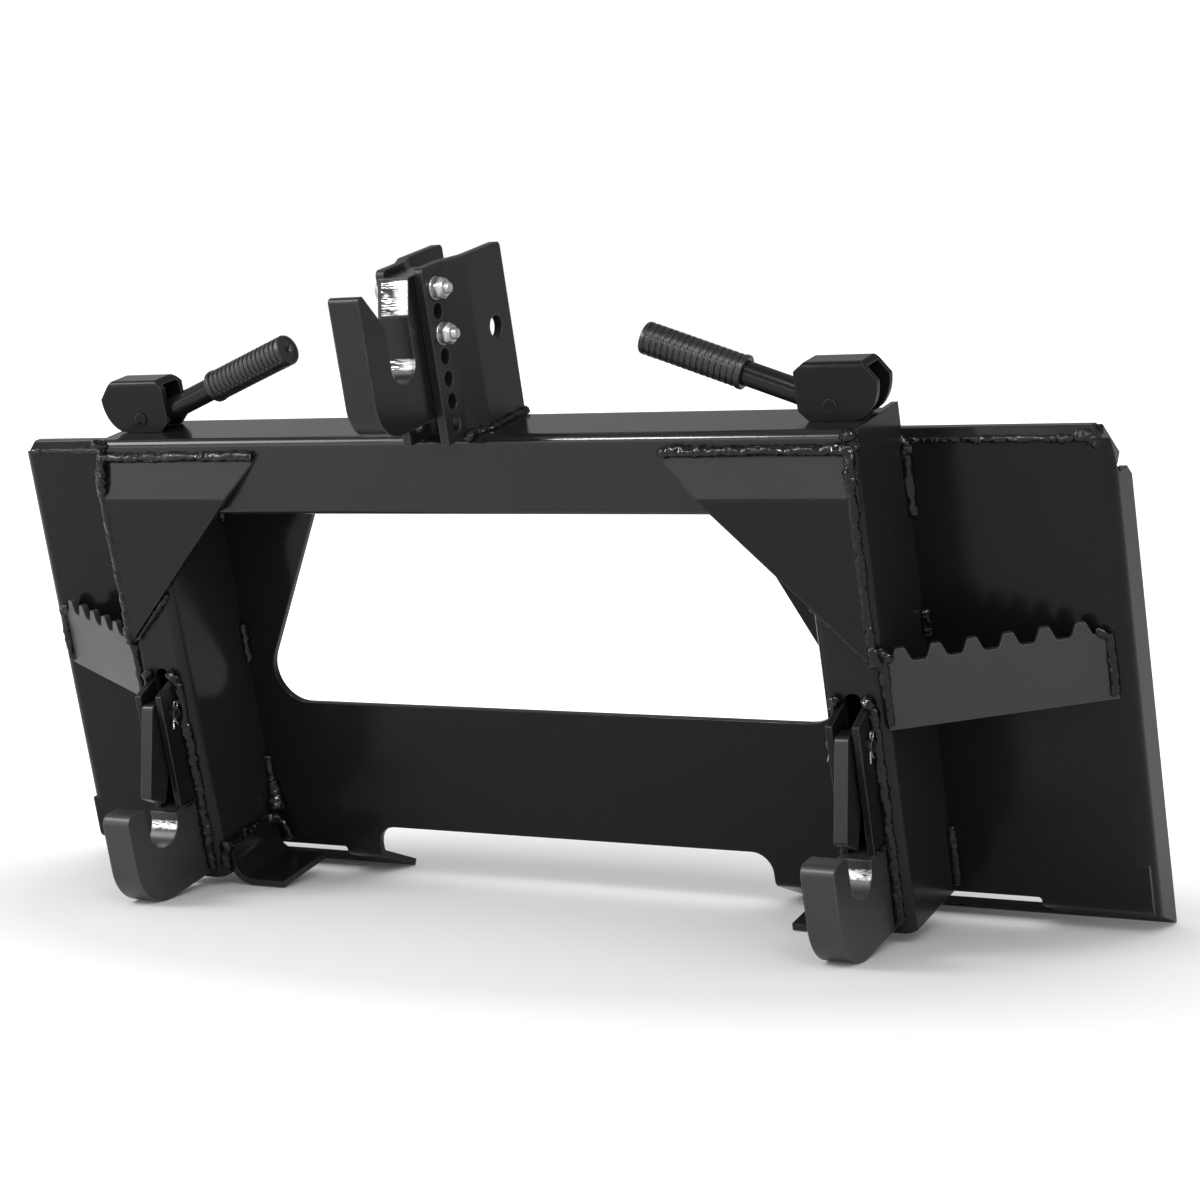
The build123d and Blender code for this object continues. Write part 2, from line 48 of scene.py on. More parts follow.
def maths(tree, operation, first, second=None, clamp=False):
    """One arithmetic node, fed by sockets or by plain numbers."""
    node = tree.nodes.new("ShaderNodeMath")
    node.operation = operation
    node.use_clamp = clamp
    for index, value in enumerate((first, second)):
        if value is None:
            continue
        if isinstance(value, (int, float)):
            node.inputs[index].default_value = value
        else:
            tree.links.new(value, node.inputs[index])
    return node.outputs[0]


def ranged(tree, value, low, high, to_low=0.0, to_high=1.0):
    """Maps a value from one range to another, clamped."""
    node = tree.nodes.new("ShaderNodeMapRange")
    node.inputs["From Min"].default_value = low
    node.inputs["From Max"].default_value = high
    node.inputs["To Min"].default_value = to_low
    node.inputs["To Max"].default_value = to_high
    tree.links.new(value, node.inputs["Value"])
    return node.outputs["Result"]


def vector_maths(tree, operation, vector, second=None):
    """One vector node with a fixed second vector."""
    node = tree.nodes.new("ShaderNodeVectorMath")
    node.operation = operation
    tree.links.new(vector, node.inputs[0])
    if second:
        node.inputs[1].default_value = second
    return node.outputs


def new_material(name):
    """Material with its node tree and its shader."""
    material = bpy.data.materials.new(name)
    material.use_nodes = True
    return material, material.node_tree, material.node_tree.nodes["Principled BSDF"]


bpy.ops.object.select_all(action="DESELECT")
bpy.ops.mesh.primitive_plane_add(size=60)
studio_floor = bpy.context.object
studio_floor.name = "studio_floor"

# The camera sees the floor brighten with distance, in an oval round the hitch, until it is white.
pale_from, pale_to = 0.3, 0.9
near_glow, far_glow = 0.02, 0.7
floor_paint, tree, skin = new_material("pale_floor")
skin.inputs["Base Color"].default_value = (0.9, 0.9, 0.9, 1)
skin.inputs["Roughness"].default_value = 0.9
skin.inputs["Specular IOR Level"].default_value = 0.1
skin.inputs["Emission Color"].default_value = (1, 1, 1, 1)
rays = tree.nodes.new("ShaderNodeLightPath").outputs
spot = tree.nodes.new("ShaderNodeTexCoord").outputs["Object"]
oval = vector_maths(tree, "MULTIPLY", spot, (0.6, 1.3, 1))["Vector"]
reach = vector_maths(tree, "LENGTH", oval)["Value"]
glow = maths(tree, "MULTIPLY", ranged(tree, reach, pale_from, pale_to, near_glow, far_glow),
             rays["Is Camera Ray"])
tree.links.new(glow, skin.inputs["Emission Strength"])
studio_floor.data.materials.append(floor_paint)

# The room is plain white to the camera. Reflections see it darken overhead and behind.
ceiling_low, ceiling_high, ceiling_tone = 0.06, 0.42, 0.4
flag_way, flag_edge, flag_middle, flag_tone = (0.6, 0.8, 0), 0.65, 0.95, 0.35
soft_strength = 0.75
studio = bpy.data.worlds.new("studio")
bpy.context.scene.world = studio
studio.use_nodes = True
tree = studio.node_tree
tree.nodes.clear()
rays = tree.nodes.new("ShaderNodeLightPath").outputs
way = tree.nodes.new("ShaderNodeTexCoord").outputs["Generated"]
split = tree.nodes.new("ShaderNodeSeparateXYZ")
tree.links.new(way, split.inputs[0])
ceiling = ranged(tree, split.outputs["Z"], ceiling_low, ceiling_high, 1.0, ceiling_tone)
ceiling.node.interpolation_type = "SMOOTHSTEP"
behind = vector_maths(tree, "DOT_PRODUCT", way, flag_way)["Value"]
flag = ranged(tree, behind, flag_edge, flag_middle, 1.0, flag_tone)
wall_tone = maths(tree, "MAXIMUM", maths(tree, "MULTIPLY", ceiling, flag), rays["Is Camera Ray"])
seen = maths(tree, "MAXIMUM", rays["Is Camera Ray"], rays["Is Glossy Ray"])
white_wall = tree.nodes.new("ShaderNodeBackground")
white_wall.inputs["Color"].default_value = (1, 1, 1, 1)
soft_light = tree.nodes.new("ShaderNodeBackground")
soft_light.inputs["Color"].default_value = (1, 1, 1, 1)
soft_light.inputs["Strength"].default_value = soft_strength
either = tree.nodes.new("ShaderNodeMixShader")
out = tree.nodes.new("ShaderNodeOutputWorld")
tree.links.new(wall_tone, white_wall.inputs["Strength"])
tree.links.new(maths(tree, "MAXIMUM", seen, rays["Is Transmission Ray"]), either.inputs["Fac"])
tree.links.new(soft_light.outputs[0], either.inputs[1])
tree.links.new(white_wall.outputs[0], either.inputs[2])
tree.links.new(either.outputs[0], out.inputs["Surface"])


def softbox(name, place, aim, size, power, height=None):
    """Area lamp at a place, turned to a point of the hitch."""
    bpy.ops.object.light_add(type="AREA", location=place)
    lamp = bpy.context.object
    lamp.name = name
    lamp.data.shape = "RECTANGLE"
    lamp.data.size = size
    lamp.data.size_y = height or size
    lamp.data.energy = power
    lamp.rotation_euler = (Vector(place) - Vector(aim)).to_track_quat("Z", "Y").to_euler()
    return lamp


softbox("left_softbox", (-2.6, -1.6, 2.6), (0, 0, 0.3), 1.4, 60)
softbox("right_softbox", (2.4, -2.4, 3.0), (0, 0, 0.3), 0.9, 18)
softbox("strip_light", (-1.7, -2.9, 0.75), (0, 0, 0.4), 2.8, 14, 0.6)
spark_size, spark_power = 0.26, 55
left_spark = softbox("left_spark", (-1.5, -2.6, 2.1), (0, 0, 0.3), spark_size, spark_power)
left_spark.visible_diffuse = False
right_spark = softbox("right_spark", (2.9, -1.2, 1.9), (0, 0, 0.3), spark_size, spark_power)
right_spark.visible_diffuse = False
high_spark = softbox("high_spark", (0.6, -2.4, 2.8), (0, 0, 0.3), spark_size, spark_power)
high_spark.visible_diffuse = False

bpy.ops.object.camera_add(location=(1.32501, -2.08727, 0.52858))
camera = bpy.context.object
camera.rotation_euler = (radians(86.3441), radians(2.1557), radians(29.7813))
camera.data.sensor_width = 36
camera.data.lens = 84.25
camera.data.shift_y = -100 / 1200
bpy.context.scene.camera = camera

# Rear plate and top lip
# One 6.4 mm steel sheet, laser cut and folded back along its sides and lower edge, with a
# bevelled flat bar welded along its top. Both are sprayed with glossy black paint.


def new_group(name, inputs, outputs):
    """Node group with number inputs given as name and value, and its outputs."""
    group = bpy.data.node_groups.new(name, "ShaderNodeTree")
    for label, value in inputs:
        socket = group.interface.new_socket(label, in_out="INPUT", socket_type="NodeSocketFloat")
        socket.default_value = value
    for label, kind in outputs:
        group.interface.new_socket(label, in_out="OUTPUT", socket_type=kind)
    return group, group.nodes.new("NodeGroupInput"), group.nodes.new("NodeGroupOutput")


def noise_on(tree, scale, detail=3.0, stretch=None):
    """Noise on the piece's own coordinates, drawn out along an axis if asked."""
    place = tree.nodes.new("ShaderNodeTexCoord")
    noise = tree.nodes.new("ShaderNodeTexNoise")
    noise.inputs["Scale"].default_value = scale
    noise.inputs["Detail"].default_value = detail
    source = place.outputs["Object"]
    if stretch:
        turn = tree.nodes.new("ShaderNodeMapping")
        turn.inputs["Scale"].default_value = stretch
        tree.links.new(source, turn.inputs["Vector"])
        source = turn.outputs["Vector"]
    tree.links.new(source, noise.inputs["Vector"])
    return noise.outputs["Fac"]


spray, spray_in, spray_out = new_group(
    "sprayed_paint_skin",
    [("Ripple", 1.0), ("Flow", 1.0), ("Smear", 0.1)],
    [("Height", "NodeSocketFloat"), ("Roughness", "NodeSocketFloat"), ("Dust", "NodeSocketFloat")],
)
peel = maths(spray, "MULTIPLY", noise_on(spray, 420.0, 2.0), spray_in.outputs["Ripple"])
waves = maths(spray, "MULTIPLY", noise_on(spray, 28.0, 2.0), spray_in.outputs["Flow"])
spray.links.new(maths(spray, "ADD", peel, waves), spray_out.inputs["Height"])
smears = ranged(spray, noise_on(spray, 9.0, 5.0), 0.35, 0.75)
smeared = maths(spray, "MULTIPLY", smears, spray_in.outputs["Smear"])
spray.links.new(smeared, spray_out.inputs["Roughness"])
specks = ranged(spray, noise_on(spray, 900.0, 1.0), 0.66, 0.78)
patches = ranged(spray, noise_on(spray, 14.0, 3.0), 0.42, 0.7)
spray.links.new(maths(spray, "MULTIPLY", specks, patches), spray_out.inputs["Dust"])

# Edge mask from rounded normals, broken by noise. Paints lighten their colour by it, partly as worn edges
# and partly as a painted highlight along edges that catch light.
edge_wear_and_highlight, edge_wear_and_highlight_in, edge_wear_and_highlight_out = new_group(
    "worn_and_highlit_edges",
    [("Width", 0.002), ("Amount", 1.0)],
    [("Mask", "NodeSocketFloat"), ("Normal", "NodeSocketVector")],
)
rounded = edge_wear_and_highlight.nodes.new("ShaderNodeBevel")
rounded.samples = 6
flat = edge_wear_and_highlight.nodes.new("ShaderNodeNewGeometry")
apart = edge_wear_and_highlight.nodes.new("ShaderNodeVectorMath")
apart.operation = "DISTANCE"
edge_wear_and_highlight.links.new(edge_wear_and_highlight_in.outputs["Width"], rounded.inputs["Radius"])
edge_wear_and_highlight.links.new(rounded.outputs["Normal"], apart.inputs[0])
edge_wear_and_highlight.links.new(flat.outputs["Normal"], apart.inputs[1])
broken = maths(edge_wear_and_highlight, "MULTIPLY", apart.outputs["Value"], noise_on(edge_wear_and_highlight, 60.0, 4.0))
worn_and_highlit = maths(edge_wear_and_highlight, "MULTIPLY", broken, edge_wear_and_highlight_in.outputs["Amount"], clamp=True)
edge_wear_and_highlight.links.new(worn_and_highlit, edge_wear_and_highlight_out.inputs["Mask"])
edge_wear_and_highlight.links.new(rounded.outputs["Normal"], edge_wear_and_highlight_out.inputs["Normal"])


def place_group(tree, group, **values):
    """Node of a shared group, with its inputs set."""
    node = tree.nodes.new("ShaderNodeGroup")
    node.node_tree = group
    for label, value in values.items():
        node.inputs[label].default_value = value
    return node


def mixed(tree, mask, first, second):
    """Colour mixed by a mask from two colours or sockets."""
    node = tree.nodes.new("ShaderNodeMix")
    node.data_type = "RGBA"
    tree.links.new(mask, node.inputs["Factor"])
    for label, value in (("A", first), ("B", second)):
        if isinstance(value, tuple):
            node.inputs[label].default_value = (*value, 1)
        else:
            tree.links.new(value, node.inputs[label])
    return node.outputs["Result"]


def lay_skin(tree, skin, sprayed, edges, strength, depth):
    """Puts the spray's ripples on the surface, over edges that look rounded."""
    bump = tree.nodes.new("ShaderNodeBump")
    bump.inputs["Strength"].default_value = strength
    bump.inputs["Distance"].default_value = depth
    tree.links.new(sprayed.outputs["Height"], bump.inputs["Height"])
    tree.links.new(edges.outputs["Normal"], bump.inputs["Normal"])
    tree.links.new(bump.outputs["Normal"], skin.inputs["Normal"])


def black_paint(name, tone, lit_worn_edges, gloss, ripple=0.35, flow=0.5,
                edge_width=0.0016, level=0.3, bump_depth=0.00025):
    """Sprayed black paint: tone, edge tone for wear and painted highlight, roughness and how wavy it lies.
    """
    paint, tree, skin = new_material(name)
    skin.inputs["IOR"].default_value = 1.5
    skin.inputs["Specular IOR Level"].default_value = level
    sprayed = place_group(tree, spray, Ripple=ripple, Flow=flow, Smear=0.1)
    edges = place_group(tree, edge_wear_and_highlight, Width=edge_width, Amount=1.4)
    base = mixed(tree, sprayed.outputs["Dust"], (tone, tone, tone), (0.05, 0.05, 0.05))
    # Lighter edges: worn paint, and a painted highlight where edges catch light.
    colour = mixed(tree, edges.outputs["Mask"], base, (lit_worn_edges, lit_worn_edges, lit_worn_edges))
    rough = maths(tree, "ADD", sprayed.outputs["Roughness"], gloss)
    tree.links.new(colour, skin.inputs["Base Color"])
    tree.links.new(rough, skin.inputs["Roughness"])
    lay_skin(tree, skin, sprayed, edges, 0.35, bump_depth)
    return paint


def finish_nodes(material, *names):
    """Puts one material on the frame's own solids."""
    for name in names:
        solid = bpy.data.objects[name]
        solid.data.materials.clear()
        solid.data.materials.append(material)


def pair(name):
    """Names of the right and the left node."""
    return f"{name}_right", f"{name}_left"


# Every part wears the same black paint. Its tone is set part by part to match how bright each part looks
# under the light, so the differences between the parts' tones are painted light and shade.
finish_nodes(black_paint("plate_paint", 0.009, 0.05, 0.12, ripple=0.2, level=0.17), "rear_plate")
finish_nodes(black_paint("lip_paint", 0.010, 0.06, 0.16, level=0.3), "top_lip")

# The hitch is drawn upright and leans until it stands by itself. How far it leans and where it
# stands follow from two joints of the frame and the latch pivot's place in the upright drawing.
joints = {joint["name"]: joint for joint in frame["joints"]}
latch_hinge = joints["latch_right_hinge"]["pos_m"]
lean = asin(-joints["pull_rod_right_slide"]["axis"][1])
leaning = Matrix.Rotation(lean, 4, "X")
latch_pivot = Vector((latch_hinge[0], -0.018, 0.183))
standing = Vector(latch_hinge) - leaning @ latch_pivot
side_of = {"right": 1, "left": -1}


def pick(piece):
    """Selects one piece only."""
    bpy.ops.object.select_all(action="DESELECT")
    piece.select_set(True)
    bpy.context.view_layer.objects.active = piece


def settle(piece, name, body="frame"):
    """Leans a piece that was modelled upright, puts its place into its mesh and hands it over."""
    pick(piece)
    bpy.ops.object.transform_apply(location=True, rotation=True, scale=True)
    piece.rotation_euler = (lean, 0, 0)
    piece.location = standing
    bpy.ops.object.transform_apply(location=True, rotation=True, scale=True)
    piece.name = name
    piece.data.name = name
    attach(piece, body)
    return piece


def join_all(pieces):
    """Joins pieces into the first one."""
    bpy.ops.object.select_all(action="DESELECT")
    for piece in pieces:
        piece.select_set(True)
    bpy.context.view_layer.objects.active = pieces[0]
    if len(pieces) > 1:
        bpy.ops.object.join()
    return bpy.context.object


def apply_modifier(piece, kind, **values):
    """Adds one modifier with its settings and applies it."""
    modifier = piece.modifiers.new(kind.lower(), kind)
    for key, value in values.items():
        setattr(modifier, key, value)
    pick(piece)
    bpy.ops.object.modifier_apply(modifier=modifier.name)


weld_lumps = bpy.data.textures.new("weld_lumps", "CLOUDS")
weld_lumps.noise_scale = 0.0052
weld_lumps.noise_depth = 1
weld_drift = bpy.data.textures.new("weld_drift", "CLOUDS")
weld_drift.noise_scale = 0.024
ripple_pitch = 0.3
ripple_shape = (1.0, 0.95, 0.5)
voxels_across = 9


def weld_run(start, end, width):
    """One straight run of ripples. Its ends are places across, back and up, in millimetres."""
    start, end = Vector(start) / 1000, Vector(end) / 1000
    along = end - start
    pitch = width / 1000 * ripple_pitch
    count = max(2, int(along.length / pitch))
    bpy.ops.object.select_all(action="DESELECT")
    bpy.ops.mesh.primitive_ico_sphere_add(subdivisions=2, radius=width / 2000)
    ripple = bpy.context.object
    ripple.scale = ripple_shape
    bpy.ops.object.transform_apply(location=False, rotation=True, scale=True)
    step = (0, 0, along.length / count)
    apply_modifier(ripple, "ARRAY", count=count, use_relative_offset=False, use_constant_offset=True,
                   constant_offset_displace=step)
    ripple.rotation_euler = along.to_track_quat("Z", "Y").to_euler()
    ripple.location = start
    bpy.ops.object.transform_apply(location=True, rotation=True, scale=True)
    return ripple


def weld_beads(name, runs, width=8.0, lumps=0.0022):
    """Beads of one joint group, laid unevenly by hand. A run may give its own share of the width."""
    ropes = []
    for start, end, *share in runs:
        ropes.append(weld_run(start, end, width * (share[0] if share else 1)))
    beads = join_all(ropes)
    apply_modifier(beads, "REMESH", mode="VOXEL", voxel_size=width / (voxels_across * 1000))
    apply_modifier(beads, "SMOOTH", factor=0.5, iterations=3)
    for texture, strength, mid_level in ((weld_drift, 0.004, 0.48), (weld_lumps, lumps, 0.45)):
        apply_modifier(beads, "DISPLACE", texture=texture, texture_coords="LOCAL",
                       strength=strength, mid_level=mid_level)
    bpy.ops.object.shade_smooth()
    beads.data.materials.append(weld_paint)
    return settle(beads, name)


weld_paint = black_paint("weld_paint", 0.004, 0.03, 0.06, ripple=1.3, flow=2.0, level=0.34,
                         bump_depth=0.0005)

lip_seam = 410.5
weld_beads("lip_weld", [
    ((-549, 93, lip_seam), (-538, 92.5, lip_seam), 1.4),
    ((-540, 92.5, lip_seam), (-395, 93, lip_seam)),
    ((392, 93, lip_seam), (548, 92.5, lip_seam)),
    ((538, 94, 413), (548, 95, 411), 1.9),
    ((546, 95, 413), (555, 99, 402), 2.2),
    ((556, 100, 402), (559, 101, 384), 1.5),
    ((524, 92, lip_seam), (527, 92, lip_seam), 1.5),
    ((384, 92.5, 412), (391, 92.5, 404), 1.9),
    ((-384, 92.5, 412), (-391, 92.5, 404), 1.9),
], 6)

# Cross beam
# An 80 by 72 mm box tube that lies across the posts, with a hole at each end for a pull rod.
finish_nodes(black_paint("beam_paint", 0.012, 0.08, 0.14, ripple=0.2, level=0.37), "cross_beam")

# Posts
# Channels folded from 6 mm plate, open towards the rear plate and welded to it with short
# runs. Their outer walls reach up beside the beam and close its ends.
post_outside, post_inside, plate_seam, beam_underside = 389, 328, 90, 371
# The posts' lighter tone paints light on their faces.
finish_nodes(black_paint("post_paint", 0.016, 0.06, 0.16, ripple=0.12, level=0.16), *pair("post"))
for side, k in side_of.items():
    weld_beads(f"post_plate_weld_{side}", [
        ((k * post_outside, plate_seam, 406), (k * post_outside, plate_seam, 345)),
        ((k * 390, 91, 405), (k * 390, 91, 399), 1.4),
        ((k * post_outside, plate_seam, 262), (k * post_outside, plate_seam, 240)),
        ((k * post_outside, plate_seam, 68), (k * post_outside, plate_seam, 14)),
        ((k * post_inside, plate_seam, 366), (k * post_inside, plate_seam, 338)),
        ((k * post_inside, plate_seam, 235), (k * post_inside, plate_seam, 195)),
        ((k * post_inside, plate_seam, 98), (k * post_inside, plate_seam, 42)),
        ((k * 326, 88, 72), (k * 323, 86, 44), 1.35),
        ((k * 324, 86, 54), (k * 320, 84, 42), 1.7),
    ], 11)
    weld_beads(f"beam_end_weld_{side}", [
        ((k * 383, -1, 440), (k * 383, -3, 374)),
        ((k * 380, 0, 441), (k * 386, 2, 425), 1.5),
        ((k * 382, 80, 441), (k * 382, 80, 376), 0.8),
        ((k * 384, -2, 442), (k * 386, -2, 438), 1.8),
        ((k * 384, -3, 410), (k * 384, -3, 402), 1.4),
    ], 8)
    weld_beads(f"beam_seat_weld_{side}", [
        ((k * 329, 4, beam_underside), (k * 329, 76, beam_underside)),
        ((k * 329, 6, 372), (k * 330, 3, 350), 0.8),
    ], 7)

# Gussets
# 8 mm triangles that lie on the posts and are folded back at the top to meet the beam,
# welded all round.
gusset_top, gusset_top_front = 429, -2.5
gusset_paint = black_paint("gusset_paint", 0.009, 0.08, 0.12, ripple=0.2, level=0.2, edge_width=0.0026)
finish_nodes(gusset_paint, *pair("gusset"))
for side, k in side_of.items():
    weld_beads(f"gusset_weld_{side}", [
        ((k * 382, gusset_top_front, gusset_top), (k * 212, gusset_top_front, gusset_top), 0.9),
        ((k * 213, gusset_top_front, gusset_top), (k * 209, -1.5, 427)),
        ((k * 382, -3, 431), (k * 383, -11, 396), 1.1),
        ((k * 383, -9.5, 396), (k * 383, -9, 256)),
        ((k * 384, -9, 262), (k * 385, -8, 246), 1.4),
        ((k * 378, -6, 252), (k * 332, -6, 297), 0.6),
    ], 9.5, lumps=0.0032)

# Serrated steps
# 6 mm plates with a saw-toothed upper edge, set slantwise between post and rear plate as a
# foothold, and welded at both ends.
step_start, step_end, step_low = 388, 549, 192
# The steps' light tone paints the light their upper faces catch.
finish_nodes(black_paint("step_paint", 0.03, 0.09, 0.32, level=0.42), *pair("step"))
for side, k in side_of.items():
    weld_beads(f"step_weld_{side}", [
        ((k * step_start, -1, 251), (k * step_start, -1, step_low)),
        ((k * 386, -3, 260), (k * 394, 3, 248), 1.25),
        ((k * step_end, plate_seam, 246), (k * step_end, plate_seam, step_low)),
        ((k * 540, 89, 248), (k * 549, 91, 246), 1.3),
    ], 9.5)

# Foot angles
# Short angles folded from 6 mm plate, welded by their upper edge inside each post.
foot_seam = 40
foot_paint = black_paint("foot_paint", 0.010, 0.02, 0.22, level=0.42, edge_width=0.0006)
finish_nodes(foot_paint, *pair("foot_angle"))
for side, k in side_of.items():
    weld_beads(f"foot_weld_{side}", [
        ((k * post_inside, 4, foot_seam), (k * post_inside, 80, foot_seam)),
        ((k * post_inside, 2, foot_seam - 1), (k * post_inside, 12, foot_seam - 1), 1.4),
        ((k * 324, 78, 40), (k * 320, 83, 36), 1.4),
        ((k * 318, 84, 34), (k * 312, 86, 14), 0.9),
        ((k * 331, 3, 34), (k * 331, 3, 12), 1.2),
    ], 10, lumps=0.003)

# Lower hooks and their ears
# 30 mm plate, flame cut, with a round seat whose glossy paint catches light in a band, painted here as
# bright steel. Two 6 mm ears stand on each hook and carry the latch pin.
drawn, _, drawn_out = new_group("upright_place", [], [
    ("Across", "NodeSocketFloat"), ("Back", "NodeSocketFloat"), ("Height", "NodeSocketFloat"),
])
place = drawn.nodes.new("ShaderNodeTexCoord")
upright = drawn.nodes.new("ShaderNodeMapping")
upright.inputs["Rotation"].default_value = (-lean, 0, 0)
upright.inputs["Location"].default_value = -(leaning.inverted() @ standing)
axes = drawn.nodes.new("ShaderNodeSeparateXYZ")
drawn.links.new(place.outputs["Object"], upright.inputs["Vector"])
drawn.links.new(upright.outputs["Vector"], axes.inputs[0])
drawn.links.new(axes.outputs["X"], drawn_out.inputs["Across"])
drawn.links.new(axes.outputs["Y"], drawn_out.inputs["Back"])
drawn.links.new(axes.outputs["Z"], drawn_out.inputs["Height"])


def seat_highlight_band(tree, back, height, radius, band_top, band_depth):
    """Mask of a painted highlight: a band across a round seat, with ragged borders, where its glossy paint
    catches light.
    """
    here = place_group(tree, drawn)
    off_back = maths(tree, "SUBTRACT", here.outputs["Back"], back)
    off_height = maths(tree, "SUBTRACT", here.outputs["Height"], height)
    squares = maths(tree, "ADD", maths(tree, "POWER", maths(tree, "ABSOLUTE", off_back), 2.0),
                    maths(tree, "POWER", maths(tree, "ABSOLUTE", off_height), 2.0))
    beyond = maths(tree, "SUBTRACT", maths(tree, "SQRT", squares), radius)
    ragged = maths(tree, "MULTIPLY", maths(tree, "SUBTRACT", noise_on(tree, 300.0), 0.5), 0.0012)
    round_part = ranged(tree, maths(tree, "ADD", beyond, ragged), 0.0003, 0.0007, 1.0, 0.0)
    level = maths(tree, "ADD", off_height, maths(tree, "MULTIPLY", ragged, 3.0))
    below_top = ranged(tree, level, band_top - 0.0012, band_top + 0.0006, 1.0, 0.0)
    above_low = ranged(tree, level, band_top - band_depth - 0.0015, band_top - band_depth + 0.0015)
    return maths(tree, "MULTIPLY", round_part, maths(tree, "MULTIPLY", below_top, above_low))


def bright_steel_patch(paint, bright_patch, dark_lines):
    """Puts bright steel with dark scratches in place of a paint where the mask says; in the seats it is a
    painted highlight.
    """
    tree = paint.node_tree
    skin = tree.nodes["Principled BSDF"]
    painted_colour = skin.inputs["Base Color"].links[0].from_socket
    painted_rough = skin.inputs["Roughness"].links[0].from_socket
    steel = mixed(tree, dark_lines, (0.92, 0.92, 0.92), (0.04, 0.04, 0.04))
    tree.links.new(mixed(tree, bright_patch, painted_colour, steel), skin.inputs["Base Color"])
    blend = tree.nodes.new("ShaderNodeMix")
    tree.links.new(bright_patch, blend.inputs["Factor"])
    tree.links.new(painted_rough, blend.inputs["A"])
    tree.links.new(ranged(tree, dark_lines, 0.0, 1.0, 0.3, 0.6), blend.inputs["B"])
    tree.links.new(blend.outputs["Result"], skin.inputs["Roughness"])
    tree.links.new(bright_patch, skin.inputs["Metallic"])


# The hooks' light tone paints the light their fronts reflect.
hook_paint = black_paint("lower_hook_paint", 0.03, 0.12, 0.3, level=0.45, edge_width=0.0022)
tree = hook_paint.node_tree
scored = ranged(tree, noise_on(tree, 700.0, 3.0, (0.25, 1.0, 1.0)), 0.5, 0.6)
# The seat's band of bright steel is a painted highlight on the glossy paint.
bright_steel_patch(hook_paint, seat_highlight_band(tree, -0.061, 0.086, 0.0205, -0.0035, 0.007), scored)
finish_nodes(hook_paint, *pair("lower_hook"))
ear_paint = black_paint("ear_paint", 0.009, 0.1, 0.24, ripple=0.15, level=0.2)
finish_nodes(ear_paint, *pair("inner_ear"), *pair("outer_ear"))
hook_middle, hook_bead_out, hook_bead_top, hook_bead_low = 358.5, 17, 208, 18
ear_bead_out, ear_foot = 16, 92
for side, k in side_of.items():
    for edge in (-1, 1):
        x = k * hook_middle + edge * hook_bead_out
        weld_beads(f"hook_weld_{side}_{'outer' if edge * k > 0 else 'inner'}", [
            ((x, -4.5, hook_bead_top), (x, -5, hook_bead_low)),
            ((x - edge * 1, -6, 217), (x - edge * 6, -8, 212), 1.1),
        ], 12.5, lumps=0.003)
    weld_beads(f"ear_foot_weld_{side}", [
        ((k * hook_middle + ear_bead_out, -28, ear_foot), (k * hook_middle + ear_bead_out, -8, ear_foot)),
        ((k * hook_middle - ear_bead_out, -28, ear_foot), (k * hook_middle - ear_bead_out, -8, ear_foot)),
    ], 5)

# Latches
# Wedges of 12 mm plate that drop in front of the seat, each with an arm that reaches through
# the post to the pull rod. Their pins are held by bent split pins.
finish_nodes(black_paint("latch_paint", 0.015, 0.12, 0.2, ripple=0.15, level=0.36), *pair("latch"))
finish_nodes(black_paint("latch_pin_paint", 0.012, 0.15, 0.2, level=0.4), *pair("latch_pin"))


def zinc(name, tint, roughness):
    """Bright zinc plating, cloudy, with edges lightened by slight wear and by a painted highlight."""
    plating, tree, skin = new_material(name)
    skin.inputs["Metallic"].default_value = 1.0
    sprayed = place_group(tree, spray, Ripple=0.5, Flow=0.6, Smear=0.25)
    edges = place_group(tree, edge_wear_and_highlight, Width=0.0006, Amount=0.8)
    clouds = ranged(tree, noise_on(tree, 120.0, 4.0), 0.3, 0.7)
    cloudy = mixed(tree, clouds, tint, tuple(0.55 * part for part in tint))
    # Lighter edges: wear and a painted highlight.
    colour = mixed(tree, edges.outputs["Mask"], cloudy, (0.85, 0.85, 0.85))
    rough = maths(tree, "ADD", sprayed.outputs["Roughness"], roughness)
    tree.links.new(colour, skin.inputs["Base Color"])
    tree.links.new(rough, skin.inputs["Roughness"])
    lay_skin(tree, skin, sprayed, edges, 0.3, 0.0001)
    return plating


pin_zinc = zinc("pin_zinc", (0.62, 0.62, 0.62), 0.26)
finish_nodes(pin_zinc, *pair("link_pin"))


def bent_wire(points, radius):
    """Round wire through points given upright in millimetres."""
    bpy.ops.object.select_all(action="DESELECT")
    bpy.ops.curve.primitive_nurbs_path_add()
    wire = bpy.context.object
    spline = wire.data.splines[0]
    spline.points.add(len(points) - len(spline.points))
    for point, spot in zip(spline.points, points):
        point.co = (*(v / 1000 for v in spot), 1)
    spline.order_u = 3
    spline.use_endpoint_u = True
    wire.data.bevel_depth = radius / 1000
    wire.data.bevel_resolution = 3
    wire.data.resolution_u = 6
    wire.data.use_fill_caps = True
    bpy.ops.object.convert(target="MESH")
    bpy.ops.object.shade_smooth()
    return bpy.context.object


# The wire's route as sideways and lengthwise steps from the middle of the latch pin's hole.
split_pin = [(-1.4, -15), (-1, -9), (-0.8, -5.5), (-0.8, 0), (-0.8, 5), (-2.8, 7), (-2.6, 10.5), (0, 12),
             (2.6, 10.5), (2.8, 7), (0.8, 5), (0.8, 0), (0.8, -5.5), (2.4, -7.5), (5.5, -9.5)]
split_pin_turn = radians(24)
split_pin_out = 17.8
legs_part_at, legs_part_by = -5.5, 0.15
wire_radius = 0.95
dull_zinc = zinc("dull_zinc", (0.3, 0.3, 0.3), 0.16)

